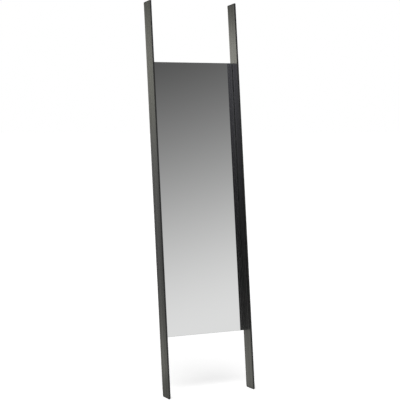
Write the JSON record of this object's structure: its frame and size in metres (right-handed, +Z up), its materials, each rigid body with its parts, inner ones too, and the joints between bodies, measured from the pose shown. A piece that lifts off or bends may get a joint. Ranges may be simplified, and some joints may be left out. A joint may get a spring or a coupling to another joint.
{
  "type": "leaning floor mirror",
  "caption": "Leaning floor mirror: a frameless pane set between long flat metal uprights that stand on the floor and rest against a wall.",
  "frame": {"origin": "on the floor, under the middle of the part's bounding box", "axes": "+Z up, -Y the way the mirror faces, +Y towards the wall it leans on, +X to the right seen from the front"},
  "size_m": [0.49, 0.2902, 1.9883],
  "materials": {
    "dark_steel": "anthracite lacquer over lengthwise brushing, satin",
    "mirror": "silvered glass, polished edge",
    "black_board": "black fibreboard, matt",
    "black_sheet": "black powder coat, fine texture",
    "zinc_screw": "bright zinc",
    "foam_tape": "grey foam",
    "black_rubber": "matt"
  },
  "bodies": {
    "root": {"upright_left": "dark_steel", "upright_right": "dark_steel", "mirror_glass": "mirror", "backing_board": "black_board", "cross_rail_lower": "black_sheet", "cross_rail_middle": "black_sheet", "cross_rail_upper": "black_sheet", "rail_screw_lower_left_low": "zinc_screw", "rail_screw_lower_left_high": "zinc_screw", "rail_screw_lower_right_low": "zinc_screw", "rail_screw_lower_right_high": "zinc_screw", "rail_screw_middle_left_low": "zinc_screw", "rail_screw_middle_left_high": "zinc_screw", "rail_screw_middle_right_low": "zinc_screw", "rail_screw_middle_right_high": "zinc_screw", "rail_screw_upper_left_low": "zinc_screw", "rail_screw_upper_left_high": "zinc_screw", "rail_screw_upper_right_low": "zinc_screw", "rail_screw_upper_right_high": "zinc_screw", "board_screw_lower_left": "zinc_screw", "board_screw_lower_centre": "zinc_screw", "board_screw_lower_right": "zinc_screw", "board_screw_middle_left": "zinc_screw", "board_screw_middle_centre": "zinc_screw", "board_screw_middle_right": "zinc_screw", "board_screw_upper_left": "zinc_screw", "board_screw_upper_centre": "zinc_screw", "board_screw_upper_right": "zinc_screw", "tape_strip_1": "foam_tape", "tape_strip_2": "foam_tape", "tape_strip_3": "foam_tape", "tape_strip_4": "foam_tape", "floor_pad_left": "black_rubber", "floor_pad_right": "black_rubber", "wall_pad_left": "black_rubber", "wall_pad_right": "black_rubber"}
  },
  "joints": []
}
